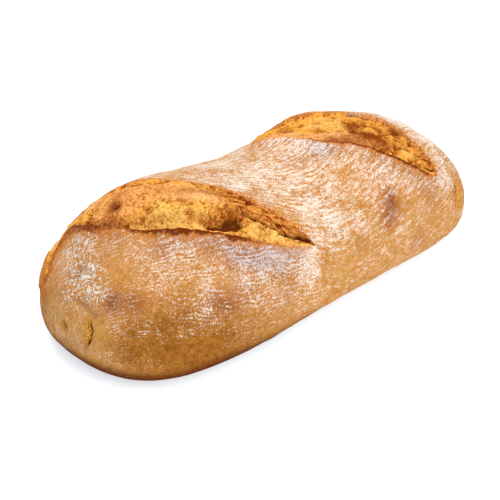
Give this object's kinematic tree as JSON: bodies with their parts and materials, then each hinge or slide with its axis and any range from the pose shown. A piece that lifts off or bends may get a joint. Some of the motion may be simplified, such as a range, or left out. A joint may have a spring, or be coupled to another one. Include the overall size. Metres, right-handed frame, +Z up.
{
  "type": "oblong country loaf of bread",
  "caption": "Whole oblong country loaf with a dusting of flour, opened along its top by slanting slashes with torn crumb swelling up between their lips.",
  "frame": {"origin": "centre of the loaf's bounding box in plan, on the flat underside it rests on", "axes": "+X along the loaf towards its smaller end, +Y towards its waisted back side, +Z up"},
  "size_m": [0.27, 0.13, 0.0764],
  "materials": {
    "crust": "matte baked crust dusted with flour"
  },
  "bodies": {
    "root": {"loaf": "crust"}
  },
  "joints": []
}
